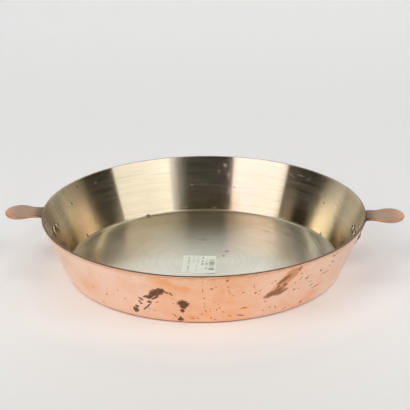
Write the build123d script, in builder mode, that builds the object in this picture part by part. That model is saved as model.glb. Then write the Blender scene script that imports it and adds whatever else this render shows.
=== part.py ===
# Tarte tatin pan: a copper dish lined with steel, with two flat ear handles held by rivets.
# Millimetres, +Z up. The origin is the centre of the base, and the handles lie along X.

from build123d import *
from math import asin, atan2, cos, degrees, radians, sin
import os

os.makedirs("parts", exist_ok=True)

# Pan
rim_radius = 160.0
base_radius = 136.5          # where the wall would meet the base if the corner were sharp
pan_height = 57.0
inside_corner = 3.0          # radius between the pan's floor and its wall
copper_thickness = 1.7
lining_thickness = 0.3
rim_rounding = 0.4

# Handle: a flat ear, a narrow neck, and a tongue bent down along the wall
handle_thickness = 2.5
ear_below_rim = 3.0          # top face of the ear under the rim
neck_length = 5.0            # straight part of the neck beyond the rim
flare_length = 19.0          # where the neck widens into the ear
tip_length = 13.5            # elliptical end, from the ear's widest place to its tip
neck_width = 23.2
ear_width = 34.0
bend_radius = 2.5            # in the hollow of the bend, away from the wall
tongue_flare = 12.0          # where the neck widens into the tongue
tongue_margin = 6.5          # metal beside each rivet's centre
tongue_foot = 13.0           # metal below the rivets' centres
edge_rounding = 0.8

# Rivets: two side by side in each tongue
rivet_spacing = 15.0
rivet_below_ear = 19.0       # rivets' centres under the ear's top face
shank_radius = 2.5
shank_clearance = 0.1
head_overhang = 1.5          # inside the pan, beyond the shank
head_height = 1.8
tail_overhang = 1.1          # formed outside on the tongue, beyond the shank
tail_height = 1.5
dome_share = 0.7             # part of a head's height that is rounded over

# Paper label on the pan's floor
label_width = 33.0
label_length = 43.0
label_thickness = 0.12
label_corner = 1.2
label_left_of_centre = 4.7
label_front_of_centre = 8.9

# Worked out from the sizes above
wall_thickness = copper_thickness + lining_thickness
wall_spread = rim_radius - base_radius
wall_lean = atan2(wall_spread, pan_height)        # from the vertical
ear_top = pan_height - ear_below_rim
neck_end = rim_radius + neck_length
ear_centre = neck_end + flare_length
ear_tip = ear_centre + tip_length
rivet_level = ear_top - rivet_below_ear
tongue_width = rivet_spacing + 2 * tongue_margin
tongue_bottom = rivet_level - tongue_foot
tongue_centre = tongue_bottom + tongue_width / 2
tongue_shoulder = tongue_centre + tongue_flare
head_radius = shank_radius + head_overhang
tail_radius = shank_radius + tail_overhang
drill_reach = 2 * (wall_thickness + handle_thickness)
handle_angles = {"left": 180.0, "right": 0.0}
row_sides = {"front": -1, "rear": 1}


def wall_radius(level, inset=0.0):
    """Radius of the wall at a level, inset from its outer face (a negative inset is outside it)."""
    return base_radius + wall_spread * level / pan_height - inset / cos(wall_lean)


def layer_line(inset):
    """Half profile of the pan, from the axis to the rim, at a depth inside its outer face."""
    return FilletPolyline(
        (0, inset),
        (wall_radius(inset, inset), inset),
        (wall_radius(pan_height, inset), pan_height),
        radius=inside_corner + wall_thickness - inset,
    )


def layer_section(outer_inset, inner_inset):
    """Half section of one layer of the pan."""
    with BuildSketch(Plane.YZ) as section:
        with BuildLine():
            outside = layer_line(outer_inset)
            inside = layer_line(inner_inset)
            Line(outside @ 0, inside @ 0)
            Line(outside @ 1, inside @ 1)
        make_face()
    return section.sketch


def riveted_section():
    """Half section of the wall and the tongue together, which a rivet's two heads sit on."""
    with BuildSketch(Plane.YZ) as section:
        with BuildLine():
            Polyline(
                (wall_radius(0, wall_thickness), 0),
                (wall_radius(0, -handle_thickness), 0),
                (wall_radius(pan_height, -handle_thickness), pan_height),
                (wall_radius(pan_height, wall_thickness), pan_height),
                close=True,
            )
        make_face()
    return section.sketch


def bent_plate_section():
    """Half section of the handle's plate: level for the ear, then down along the wall."""
    underside = ear_top - handle_thickness
    with BuildSketch(Plane.YZ) as section:
        with BuildLine():
            near_wall = FilletPolyline(
                (ear_tip, ear_top),
                (wall_radius(ear_top), ear_top),
                (wall_radius(0), 0),
                radius=bend_radius + handle_thickness,
            )
            away_from_wall = FilletPolyline(
                (ear_tip, underside),
                (wall_radius(underside, -handle_thickness), underside),
                (wall_radius(0, -handle_thickness), 0),
                radius=bend_radius,
            )
            Line(near_wall @ 0, away_from_wall @ 0)
            Line(near_wall @ 1, away_from_wall @ 1)
        make_face()
    return section.sketch


def ear_outline(plane):
    """Outline of the ear and neck from above, with the handle pointing along the plane's X."""
    neck_start = wall_radius(tongue_shoulder)
    with BuildSketch(plane) as outline:
        with BuildLine():
            neck = Line((neck_start, neck_width / 2), (neck_end, neck_width / 2))
            middle = ((neck_end + ear_centre) / 2, (neck_width + ear_width) / 4)
            hollow = TangentArc(neck @ 1, middle, tangent=neck % 1)
            TangentArc(hollow @ 1, (ear_centre, ear_width / 2), tangent=hollow % 1)
            EllipticalCenterArc((ear_centre, 0), tip_length, ear_width / 2, arc_size=90)
            mirror(about=Plane.XZ)
            Line((neck_start, neck_width / 2), (neck_start, -neck_width / 2))
        make_face()
    return outline.sketch


def tongue_outline(plane):
    """Outline of the tongue and neck from the handle's end, with the plane's Y up."""
    with BuildSketch(plane) as outline:
        with BuildLine():
            neck = Line((neck_width / 2, pan_height), (neck_width / 2, tongue_shoulder))
            middle = ((neck_width + tongue_width) / 4, (tongue_shoulder + tongue_centre) / 2)
            hollow = TangentArc(neck @ 1, middle, tangent=neck % 1)
            side = TangentArc(hollow @ 1, (tongue_width / 2, tongue_centre), tangent=hollow % 1)
            TangentArc(side @ 1, (0, tongue_bottom), tangent=side % 1)
            mirror(about=Plane.YZ)
            Line((neck_width / 2, pan_height), (-neck_width / 2, pan_height))
        make_face()
    return outline.sketch


def rivet_plane(side, row):
    """Plane on the wall's outer face at a rivet's centre, facing outwards."""
    radius = wall_radius(rivet_level)
    turn = degrees(asin(rivet_spacing / 2 / radius))
    towards_rear = turn if side == "right" else -turn
    angle = radians(handle_angles[side] + row_sides[row] * towards_rear)
    outward = Vector(cos(angle), sin(angle), 0)
    return Plane(
        origin=outward * radius + Vector(0, 0, rivet_level),
        x_dir=(-sin(angle), cos(angle), 0),
        z_dir=outward * cos(wall_lean) - Vector(0, 0, sin(wall_lean)),
    )


rivet_planes = {f"rivet_{side}_{row}": rivet_plane(side, row) for side in handle_angles for row in row_sides}
drill_planes = [plane.offset(drill_reach) for plane in rivet_planes.values()]

# Copper shell
with BuildPart() as copper_shell:
    revolve(layer_section(0, copper_thickness), axis=Axis.Z)
    rim_edges = copper_shell.edges().filter_by(GeomType.CIRCLE).group_by(Axis.Z)[-1]
    fillet(rim_edges.sort_by(SortBy.RADIUS)[-1], radius=min(rim_rounding, copper_thickness / 2))
    with Locations(*drill_planes):
        Hole(shank_radius + shank_clearance, depth=2 * drill_reach)

# Steel lining
with BuildPart() as steel_lining:
    revolve(layer_section(copper_thickness, wall_thickness), axis=Axis.Z)
    with Locations(*drill_planes):
        Hole(shank_radius + shank_clearance, depth=2 * drill_reach)

# Handles: the bent plate is cut to the ear's outline from above and the tongue's from the end
handles = {}
for side, angle in handle_angles.items():
    outward = Vector(1, 0, 0).rotate(Axis.Z, angle)
    across = outward.rotate(Axis.Z, 90)
    with BuildPart() as handle:
        extrude(ear_outline(Plane((0, 0, 0), x_dir=outward, z_dir=(0, 0, 1))), amount=pan_height)
        extrude(tongue_outline(Plane((0, 0, 0), x_dir=across, z_dir=outward)), amount=ear_centre)
        revolve(bent_plate_section(), axis=Axis.Z, mode=Mode.INTERSECT)
        # Each round runs on from the ear's tip along the whole outline, whose edges are tangent
        level_faces = handle.faces().filter_by(Axis.Z)
        tip_edges = [face.edges().sort_by(Axis((0, 0, 0), outward))[-1] for face in level_faces]
        fillet(tip_edges, radius=min(edge_rounding, handle_thickness / 3))
        with Locations(*drill_planes):
            Hole(shank_radius + shank_clearance, depth=2 * drill_reach)
    handles[f"handle_{side}"] = handle

# Rivets: the heads are trimmed to the curved faces that they sit on, before the shank is added
rivets = {}
for name, plane in rivet_planes.items():
    along = Axis(plane.origin, plane.z_dir)
    with BuildPart() as rivet:
        with BuildSketch(plane.offset(-wall_thickness / 2)):
            Circle(head_radius)
        extrude(amount=-(wall_thickness / 2 + head_height))
        with BuildSketch(plane.offset(handle_thickness / 2)):
            Circle(tail_radius)
        extrude(amount=handle_thickness / 2 + tail_height)
        fillet(rivet.edges().sort_by(along)[0], radius=dome_share * head_height)
        fillet(rivet.edges().sort_by(along)[-1], radius=dome_share * tail_height)
        revolve(riveted_section(), axis=Axis.Z, mode=Mode.SUBTRACT)
        with BuildSketch(plane.offset(-wall_thickness - head_height / 2)):
            Circle(shank_radius)
        extrude(amount=wall_thickness + handle_thickness + (head_height + tail_height) / 2)
    rivets[name] = rivet

# Paper label
with BuildPart() as paper_label:
    with BuildSketch(Plane.XY.offset(wall_thickness)):
        with Locations((-label_left_of_centre, -label_front_of_centre)):
            RectangleRounded(label_width, label_length, radius=label_corner)
    extrude(amount=label_thickness)

pieces = {
    "copper_shell": copper_shell,
    "steel_lining": steel_lining,
    **handles,
    **rivets,
    "paper_label": paper_label,
}
for name, piece in pieces.items():
    piece.part.label = name
    export_step(piece.part, f"parts/{name}.step")
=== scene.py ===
# A tarte tatin pan of copper lined with steel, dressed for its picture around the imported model.
# Metres, +Z up, the origin in the middle of the base, the handles along X. The camera looks from -Y.
import math

import bmesh
import bpy
from mathutils import Matrix, Quaternion, Vector


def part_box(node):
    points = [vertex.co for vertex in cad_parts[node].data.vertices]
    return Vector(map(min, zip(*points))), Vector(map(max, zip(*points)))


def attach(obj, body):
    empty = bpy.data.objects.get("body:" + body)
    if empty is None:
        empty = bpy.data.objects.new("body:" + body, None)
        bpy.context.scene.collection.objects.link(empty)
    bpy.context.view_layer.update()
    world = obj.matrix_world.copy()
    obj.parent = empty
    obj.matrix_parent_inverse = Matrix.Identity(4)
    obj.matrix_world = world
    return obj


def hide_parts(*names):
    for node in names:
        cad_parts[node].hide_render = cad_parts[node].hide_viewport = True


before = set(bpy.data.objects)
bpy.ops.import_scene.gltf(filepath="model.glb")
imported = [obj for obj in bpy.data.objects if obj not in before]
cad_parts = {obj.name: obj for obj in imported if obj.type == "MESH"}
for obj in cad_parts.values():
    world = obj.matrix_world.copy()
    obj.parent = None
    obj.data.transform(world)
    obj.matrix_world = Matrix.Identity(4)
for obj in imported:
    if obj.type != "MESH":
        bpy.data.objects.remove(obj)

bl_info = {
    "name": "Tarte tatin pan",
    "version": (1, 0, 0),
    "blender": (4, 5, 0),
    "location": "3D View > Sidebar > Tatin Pan",
    "description": "Builds a stained copper tarte tatin pan, its finishes and its studio",
    "category": "Object",
}

ROOT = "root"
MM = 0.001
SHARP_ANGLE = math.radians(40)

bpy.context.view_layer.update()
SHELL_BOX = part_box("copper_shell")
LINING_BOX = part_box("steel_lining")
LABEL_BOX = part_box("paper_label")
HANDLE_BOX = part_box("handle_right")

# The rim's radius in mm before its edge is rounded, which makes the box a little smaller
RIM_RADIUS = round(SHELL_BOX[1].x / MM)


# Sizes and colours that a user can change

def length(name, description, default):
    """A property that holds a length in metres."""
    return bpy.props.FloatProperty(
        name=name,
        description=description,
        default=default,
        min=0,
        subtype="DISTANCE",
        unit="LENGTH",
        precision=5,
    )


def spot(name, description, default):
    """A property that holds a place in metres."""
    return bpy.props.FloatVectorProperty(
        name=name,
        description=description,
        default=default,
        subtype="TRANSLATION",
        unit="LENGTH",
        precision=5,
    )


def turn(name, description, default):
    """A property that holds an angle, given here in degrees."""
    return bpy.props.FloatProperty(
        name=name,
        description=description,
        default=math.radians(default),
        subtype="ANGLE",
        unit="ROTATION",
    )


def whole(name, description, default, least):
    """A property that holds a whole number."""
    return bpy.props.IntProperty(name=name, description=description, default=default, min=least)


def glow(name, description, default):
    """A property that holds a radiance, where white paper in full light is about 1."""
    return bpy.props.FloatProperty(name=name, description=description, default=default, min=0, precision=3)


def paint(name, description, default):
    """A property that holds a linear colour."""
    return bpy.props.FloatVectorProperty(
        name=name, description=description, default=default, size=3, min=0, max=1, subtype="COLOR"
    )


class PanSizes(bpy.types.PropertyGroup):
    """Sizes of the pan's two layers."""

    rim_radius: length("Rim radius", "Outside radius of the rim", SHELL_BOX[1].x)
    base_radius: length("Base radius", "Where the wall would meet the base without a corner", 0.1365)
    height: length("Height", "Height of the rim over the base", SHELL_BOX[1].z)
    copper: length("Copper", "Thickness of the copper", LINING_BOX[0].z)
    lining: length("Lining", "Thickness of the steel lining", LABEL_BOX[0].z - LINING_BOX[0].z)
    corner: length("Inside corner", "Radius between the pan's floor and its wall", 0.003)
    rim_round: length("Rim rounding", "Rounding of the rim's outer edge", 0.0004)
    lining_round: length("Lining rounding", "Rounding of the lining's edge at the rim", 0.00012)
    row_gap: length("Row gap", "Greatest distance between two rings of the mesh", 0.006)
    segments: whole("Segments", "Steps round the pan", 360, 48)


class RivetSizes(bpy.types.PropertyGroup):
    """Sizes and places of the four rivets."""

    level: length("Level", "Height of the rivets' centres", 0.035)
    spacing: length("Spacing", "Distance between the two rivets of a handle", 0.015)
    plate: length("Plate", "Thickness of the handle that they hold", 0.0025)
    shank_radius: length("Shank radius", "Radius of the shank", 0.0025)
    head_radius: length("Head radius", "Radius of the head inside the pan", 0.004)
    head_height: length("Head height", "Height of the head inside the pan", 0.0018)
    tail_radius: length("Tail radius", "Radius of the formed head outside", 0.0036)
    tail_height: length("Tail height", "Height of the formed head outside", 0.0015)
    segments: whole("Segments", "Steps round a rivet", 40, 12)


class LabelSizes(bpy.types.PropertyGroup):
    """Sizes of the paper label on the pan's floor."""

    width: length("Width", "Size of the label along the handles", LABEL_BOX[1].x - LABEL_BOX[0].x)
    depth: length("Depth", "Size of the label from front to rear", LABEL_BOX[1].y - LABEL_BOX[0].y)
    thickness: length("Thickness", "Thickness of the paper", LABEL_BOX[1].z - LABEL_BOX[0].z)
    corner: length("Corner", "Radius of the label's corners", 0.0012)
    lift: length("Lift", "How far the loose corner stands off the floor", 0.0005)
    lift_reach: length("Lift reach", "How far from its corner the label is loose", 0.012)


class PanColours(bpy.types.PropertyGroup):
    """Linear colours of the pan's finishes."""

    copper: paint("Copper", "Polished copper", (1.0, 0.75, 0.61))
    copper_orange: paint("Orange copper", "Copper that heat has turned orange", (0.93, 0.51, 0.27))
    stain: paint("Stain", "Dark brown stains on the copper", (0.095, 0.036, 0.010))
    steel: paint("Steel", "Brushed steel of the lining's wall", (0.68, 0.60, 0.46))
    steel_floor: paint("Floor steel", "Brushed steel of the pan's floor", (0.72, 0.70, 0.61))
    handle: paint("Handle", "Worn copper of the handles", (0.45, 0.285, 0.19))
    # Also the colour of the painted highlight along the top of the handles' edges
    handle_edge_and_highlight: paint("Handle edge", "Copper rubbed bright along the handles' edges", (0.80, 0.40, 0.24))
    rivet: paint("Rivet", "Steel of the rivets", (0.60, 0.54, 0.38))
    paper: paint("Paper", "Label paper", (0.75, 0.775, 0.67))
    ink: paint("Ink", "Print on the label", (0.16, 0.165, 0.14))


class StudioSettings(bpy.types.PropertyGroup):
    """The camera, the lamps and the paper that the pan stands on."""

    camera_place: spot("Camera place", "Where the camera stands", (0.06951, -1.28342, 0.5709))
    camera_target: spot("Camera target", "Point in the middle of the picture", (0.00148, 0.0, 0.06222))
    camera_roll: turn("Camera roll", "Turn of the camera about its line of sight", -0.6)
    camera_lens: bpy.props.FloatProperty(
        name="Lens",
        description="Focal length on a 36 mm wide picture, in millimetres",
        default=122.9,
        min=1,
    )
    paper: paint("Paper", "Floor and backdrop", (0.86, 0.855, 0.85))
    right_low: glow("Right softbox, lower half", "Radiance near the floor", 1.3)
    right_high: glow("Right softbox, upper half", "Radiance at its bright part", 3.7)
    left_low: glow("Left softbox, lower half", "Radiance near the floor", 1.7)
    left_high: glow("Left softbox, upper half", "Radiance at its bright part", 4.4)
    side_box: glow("Side softbox", "Radiance of the weak lamp at the left", 0.85)
    backdrop_box: glow("Backdrop lamp", "Radiance of the lamp that lights the backdrop", 4.9)
    room: glow("Room", "Radiance of the dark room at eye level", 0.03)
    ceiling: glow("Ceiling", "Radiance of the room overhead", 0.24)
    far_walls: glow("Far walls", "Radiance of the pale walls at both sides of the backdrop", 0.38)


# Node trees

class Wire:
    """An output socket. Python's operators on it add Math nodes."""

    def __init__(self, tree, socket):
        self.tree = tree
        self.socket = socket

    def __getitem__(self, name):
        """Another output of the same node."""
        return Wire(self.tree, self.socket.node.outputs[name])

    def __add__(self, other):
        return self.tree.math("ADD", self, other)

    def __sub__(self, other):
        return self.tree.math("SUBTRACT", self, other)

    def __rsub__(self, other):
        return self.tree.math("SUBTRACT", other, self)

    def __mul__(self, other):
        return self.tree.math("MULTIPLY", self, other)

    def __truediv__(self, other):
        return self.tree.math("DIVIDE", self, other)

    def __abs__(self):
        return self.tree.math("ABSOLUTE", self)

    __radd__ = __add__
    __rmul__ = __mul__


class Tree:
    """Adds nodes to a shader or geometry tree, one call each."""

    def __init__(self, tree):
        self.tree = tree

    def node(self, kind, settings=None, inputs=None):
        """Adds a node. Its settings come first, and then each socket gets its value or its link."""
        made = self.tree.nodes.new(kind)
        for name, value in (settings or {}).items():
            setattr(made, name, value)
        for name, value in (inputs or {}).items():
            if isinstance(value, Wire):
                self.tree.links.new(value.socket, made.inputs[name])
            else:
                made.inputs[name].default_value = value
        return Wire(self, made.outputs[0]) if len(made.outputs) else None

    def math(self, operation, *values):
        """A Math node on one, two or three values."""
        return self.node("ShaderNodeMath", {"operation": operation}, dict(enumerate(values)))

    def vector(self, operation, *values):
        """A Vector Math node on one, two or three vectors."""
        return self.node("ShaderNodeVectorMath", {"operation": operation}, dict(enumerate(values)))

    def scaled(self, vector, factor):
        """A vector times a number."""
        inputs = {"Vector": vector, "Scale": factor}
        return self.node("ShaderNodeVectorMath", {"operation": "SCALE"}, inputs)

    def largest(self, values):
        """The largest of several values."""
        top = values[0]
        for value in values[1:]:
            top = self.math("MAXIMUM", top, value)
        return top

    def distance(self, x, y):
        """How far a place is from an upright axis."""
        return self.math("SQRT", x * x + y * y)

    def ease(self, value, low, high):
        """0 at low and 1 at high, with soft ends. High may be under low."""
        return self.node(
            "ShaderNodeMapRange",
            {"interpolation_type": "SMOOTHSTEP"},
            {"Value": value, "From Min": low, "From Max": high},
        )

    def between(self, value, start, full, still_full, end):
        """0 outside start and end, and 1 between the two places inside them, with soft ends."""
        return self.ease(value, start, full) * self.ease(value, end, still_full)

    def parts(self, vector):
        """A vector's three numbers."""
        split = self.node("ShaderNodeSeparateXYZ", None, {0: vector})
        return split["X"], split["Y"], split["Z"]

    def joined(self, x, y, z):
        """A vector of three numbers."""
        return self.node("ShaderNodeCombineXYZ", None, {0: x, 1: y, 2: z})

    def turned(self, vector, angle, centre=(0, 0, 0)):
        """A vector turned about an upright line through a centre."""
        return self.node(
            "ShaderNodeVectorRotate",
            {"rotation_type": "Z_AXIS"},
            {"Vector": vector, "Center": centre, "Angle": angle},
        )


# How a layer of colour is mixed in
TINT = "MULTIPLY"
COVER = "MIX"


def opaque(colour):
    """A plain colour with alpha 1, for a colour socket. A wire stays as it is."""
    return colour if isinstance(colour, Wire) else (*colour, 1.0)


class Finish(Tree):
    """A material, with patterns on its object's coordinates."""

    def __init__(self, name):
        self.material = bpy.data.materials.new(name)
        self.material.use_nodes = True
        super().__init__(self.material.node_tree)
        self.tree.nodes.clear()
        self.metres = self.node("ShaderNodeTexCoord")["Object"]
        self.place = self.scaled(self.metres, 1 / MM)

    def surface(self, shader_inputs):
        """Ends the material in a Principled shader."""
        shader = self.node("ShaderNodeBsdfPrincipled", None, shader_inputs)
        self.node("ShaderNodeOutputMaterial", None, {"Surface": shader})
        return self.material

    def noise(self, vector, scale, detail, roughness):
        """Smooth noise about 0.5. Its colour has three independent ones."""
        return self.node(
            "ShaderNodeTexNoise",
            None,
            {"Vector": vector, "Scale": scale, "Detail": detail, "Roughness": roughness},
        )

    def mix(self, kind, factor, first, second):
        """Two colours mixed, as far as the factor says."""
        settings = {"data_type": "RGBA", "blend_type": kind}
        return self.node("ShaderNodeMix", settings, {0: factor, 6: opaque(first), 7: opaque(second)})[2]

    def layered(self, colour, layers):
        """A colour under layers: whether each one tints or covers, how far it does, and its own colour."""
        for kind, factor, layer in layers:
            colour = self.mix(kind, factor, colour, layer)
        return colour

    def bump(self, height, distance, strength, under=None):
        """A normal bumped by a height from 0 to 1 that stands for a distance in metres."""
        inputs = {"Height": height, "Distance": distance, "Strength": strength}
        if under is not None:
            inputs["Normal"] = under
        return self.node("ShaderNodeBump", None, inputs)

    def round_the_axis(self):
        """Degrees to the right of the pan's front, distance from its axis, and height, in millimetres."""
        x, y, z = self.parts(self.place)
        angle = self.math("ARCTAN2", x, 0 - y) * math.degrees(1)
        return angle, self.distance(x, y), z

    def brushed_place(self, fine, long):
        """Coordinates for lines brushed in circles: fine across the line and long along it."""
        x, y, z = self.parts(self.place)
        radius = self.math("MAXIMUM", self.distance(x, y), 0.01)
        return self.joined(x / radius * long, y / radius * long, (radius + z) * fine)

    def unrolled(self, angle, height):
        """The wall laid flat: millimetres along it and up."""
        return self.joined(angle * (math.radians(1) * FRONT_RADIUS), height, 0)

    def shaken(self, place, noise, reach):
        """A place moved to and fro by a noise, by about a number of millimetres."""
        offset = self.vector("SUBTRACT", noise["Color"], (0.5, 0.5, 0.5))
        return self.vector("ADD", place, self.scaled(offset, reach))

    def depth_in(self, place, ovals):
        """How far inside the nearest of some ovals a place is: 1 at its centre and 0 at its edge."""
        nearest = None
        for along, up, half_length, half_width, slant in ovals:
            level = self.turned(place, -math.radians(slant), (along, up, 0))
            scale = (1 / half_length, 1 / half_width, 0)
            local = self.vector("MULTIPLY_ADD", level, scale, (-along / half_length, -up / half_width, 0))
            reach = self.vector("LENGTH", local)["Value"]
            nearest = reach if nearest is None else self.math("MINIMUM", nearest, reach)
        return 1 - nearest

    def blots(self, place, ovals, low, high, fray=0.0):
        """Some oval blots, 0 at low and 1 at high on the scale of depth_in, frayed by a noise about 0."""
        return self.ease(self.depth_in(place, ovals) + fray, low, high)


# Radius in mm at which the front of the wall is laid flat
FRONT_RADIUS = 148.0


def on_wall(blots):
    """Blots whose place is given in degrees right of the front, with that place in mm along the wall."""
    return [(math.radians(angle) * FRONT_RADIUS, *rest) for angle, *rest in blots]


# Stains on the copper, each an oval: degrees right of the front, height in mm, half length and half width
# in mm, and turn in degrees. Those beyond 70 degrees either way lie on sides that the photograph does
# not show.

DARK_PATCHES = (
    (-13.5, 35.5, 9.2, 4.6, 25),
    (-12.0, 38.0, 5.0, 3.8, 0),
    (-16.0, 30.0, 6.5, 2.6, 40),
    (-14.5, 28.5, 5.5, 1.3, 35),
    (-17.0, 22.5, 3.0, 1.6, 0),
    (-18.5, 15.5, 8.0, 0.8, 45),
    (-20.0, 24.5, 3.2, 1.6, -40),
    (-18.0, 29.0, 3.2, 1.5, 25),
    (-21.0, 21.5, 1.6, 1.6, 0),
    (-20.5, 19.0, 2.0, 1.3, 20),
    (-22.5, 14.5, 2.4, 1.6, -10),
    (-23.5, 10.0, 3.8, 3.8, -25),
    (-10.0, 36.5, 2.4, 1.1, -20),
    (-8.5, 35.0, 2.5, 0.8, -50),
    (-4.5, 24.0, 6.6, 5.0, -10),
    (-4.5, 20.0, 3.2, 2.8, -5),
    (-5.0, 15.5, 2.4, 3.0, -10),
    (-6.0, 4.5, 3.6, 2.3, 0),
    (-6.0, 7.0, 1.6, 1.6, 0),
    (-8.0, 9.0, 2.2, 0.6, -40),
    (150.0, 36.0, 6.0, 3.0, 30),
    (146.5, 31.5, 4.0, 1.5, 40),
    (144.0, 27.0, 3.0, 1.0, 20),
    (159.0, 22.0, 3.5, 2.6, -10),
    (-118.0, 20.0, 4.0, 2.4, -20),
    (-121.5, 24.5, 3.0, 0.9, -45),
)
BROWN_PATCHES = (
    (17.5, 16.5, 4.0, 0.7, 5),
    (26.5, 27.5, 6.5, 3.6, 30),
    (29.0, 29.5, 9.5, 4.4, 26),
    (31.5, 28.0, 8.5, 2.4, 26),
    (32.0, 36.0, 3.6, 2.4, 20),
    (29.5, 35.5, 2.0, 1.6, 10),
    (36.5, 51.5, 3.0, 1.8, 60),
    (31.0, 43.0, 9.0, 3.0, 35),
    (-164.0, 30.0, 7.0, 2.0, 30),
)
PALE_PATCHES = (
    (32.5, 42.5, 17.5, 5.6, 38),
    (34.0, 50.5, 8.0, 4.0, 10),
    (29.5, 31.0, 10.0, 5.5, 25),
    (-163.0, 35.0, 13.0, 5.0, 35),
    (-100.0, 30.0, 9.0, 3.0, 35),
)
SPECKS = (
    (-35.5, 19.5, 1.3, 1.1, -25),
    (-29.0, 29.5, 0.9, 0.7, 15),
    (-27.0, 20.5, 1.0, 0.7, 10),
    (-39.5, 6.0, 1.4, 0.8, -10),
    (-42.0, 22.5, 1.5, 0.6, -40),
    (-14.0, 23.5, 2.2, 0.8, 5),
    (-15.5, 13.0, 0.9, 0.8, 5),
    (-17.5, 14.0, 0.8, 0.7, -10),
    (-8.0, 23.5, 1.0, 0.7, 0),
    (-1.5, 6.0, 2.0, 0.6, -5),
    (0.5, 6.5, 1.3, 0.6, -10),
    (2.5, 51.0, 1.0, 0.4, -70),
    (2.5, 40.5, 3.2, 0.5, -80),
    (3.0, 31.5, 1.7, 0.5, -85),
    (3.0, 24.5, 1.2, 0.4, -75),
    (3.0, 21.0, 1.1, 0.4, -80),
    (2.0, 11.5, 1.1, 0.8, -10),
    (3.5, 15.5, 1.9, 0.6, -55),
    (5.0, 18.0, 0.6, 0.6, 0),
    (5.0, 15.0, 0.6, 0.5, 0),
    (5.5, 6.5, 1.4, 0.8, -10),
    (7.0, 4.5, 1.5, 0.5, -5),
    (5.5, 42.5, 1.7, 1.0, 5),
    (7.0, 44.5, 1.4, 0.5, 0),
    (6.5, 26.0, 0.7, 0.8, -15),
    (8.0, 23.5, 0.7, 0.7, 0),
    (8.5, 19.0, 0.9, 1.1, 0),
    (7.5, 16.5, 1.7, 0.5, -80),
    (10.0, 13.5, 1.7, 0.5, -15),
    (10.5, 51.5, 1.6, 1.3, 15),
    (11.0, 44.0, 1.3, 0.5, 25),
    (11.5, 38.0, 4.5, 0.3, -65),
    (13.0, 33.0, 2.6, 0.3, -30),
    (12.5, 8.0, 2.7, 0.5, -25),
    (16.5, 7.5, 4.8, 0.9, -15),
    (16.5, 35.5, 1.9, 0.6, 15),
    (20.0, 41.0, 2.6, 0.4, -75),
    (21.0, 33.0, 1.5, 1.3, -5),
    (22.5, 35.0, 1.5, 0.7, 30),
    (22.5, 30.5, 1.2, 0.4, 0),
    (26.5, 41.5, 0.8, 0.7, -10),
    (27.5, 43.5, 1.4, 0.9, 0),
    (25.5, 20.5, 1.6, 0.8, 5),
    (28.0, 11.5, 1.0, 0.8, -10),
    (25.5, 9.5, 1.1, 0.6, -30),
    (30.5, 10.5, 3.0, 0.4, -70),
    (35.0, 5.5, 2.6, 0.6, 20),
    (36.5, 35.0, 1.8, 0.4, -70),
    (37.0, 26.5, 1.8, 1.3, 25),
    (39.0, 26.0, 1.1, 0.5, -20),
    (38.5, 39.0, 3.5, 0.6, 60),
    (38.0, 44.5, 1.9, 0.8, 0),
    (41.5, 36.5, 2.4, 1.4, 20),
    (42.0, 39.0, 1.0, 0.7, 45),
    (43.0, 6.5, 3.0, 1.2, 35),
    (43.5, 38.0, 1.3, 0.4, -15),
    (44.0, 30.0, 4.0, 0.4, -5),
    (45.5, 24.5, 4.0, 0.6, 5),
    (48.0, 39.0, 1.5, 1.8, 40),
    (49.0, 20.0, 7.5, 0.7, 0),
    (51.5, 33.0, 8.0, 0.6, 0),
    (53.0, 39.5, 2.1, 0.7, -10),
    (53.0, 50.5, 3.3, 1.2, -10),
    (53.5, 43.5, 2.2, 1.3, 15),
    (54.5, 52.0, 2.4, 0.8, 70),
    (55.5, 40.0, 2.1, 0.4, -25),
    (103.0, 28.0, 1.8, 1.1, 20),
    (116.0, 40.0, 2.4, 0.7, 50),
    (131.0, 12.0, 1.4, 1.0, 0),
    (166.0, 25.0, 2.6, 0.8, -35),
    (-172.0, 34.0, 1.6, 1.1, 10),
    (-139.0, 45.0, 2.2, 0.7, -40),
    (-128.0, 9.0, 1.5, 1.1, 0),
    (-106.0, 47.0, 1.9, 0.8, 60),
)
ORANGE_CLOUDS = (
    (-11.5, 49.0, 12.0, 5.5, -15),
    (-8.0, 45.0, 8.0, 4.0, -15),
    (-4.0, 41.5, 7.0, 4.2, 0),
    (-8.0, 29.0, 3.5, 0.6, 0),
    (-1.5, 8.0, 6.0, 2.0, -10),
    (-47.0, 19.0, 8.5, 6.0, -15),
    (17.5, 15.5, 4.5, 1.4, 0),
    (10.5, 53.5, 2.0, 1.6, -10),
)
FAINT_CLOUDS = (
    (-47.5, 21.5, 12.0, 12.0, -25),
    (11.0, 25.0, 8.5, 3.5, -10),
    (9.0, 40.0, 7.0, 1.2, -75),
    (4.0, 10.5, 8.0, 3.0, -30),
    (34.0, 14.0, 6.0, 1.5, -35),
    (38.0, 6.0, 10.0, 2.5, -25),
    (48.0, 8.0, 12.0, 5.0, 0),
    (48.0, 14.0, 3.5, 6.0, 35),
    (45.5, 50.0, 5.0, 2.0, -10),
    (120.0, 35.0, 20.0, 9.0, 20),
    (-150.0, 40.0, 16.0, 7.0, -10),
)

# A wide warm cloud over the front of the copper, a painted reflection of the warm floor in front of it
WARM_REFLECTION_FRONT = ((4.0, 24.0, 72.0, 60.0, 0),)


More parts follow.
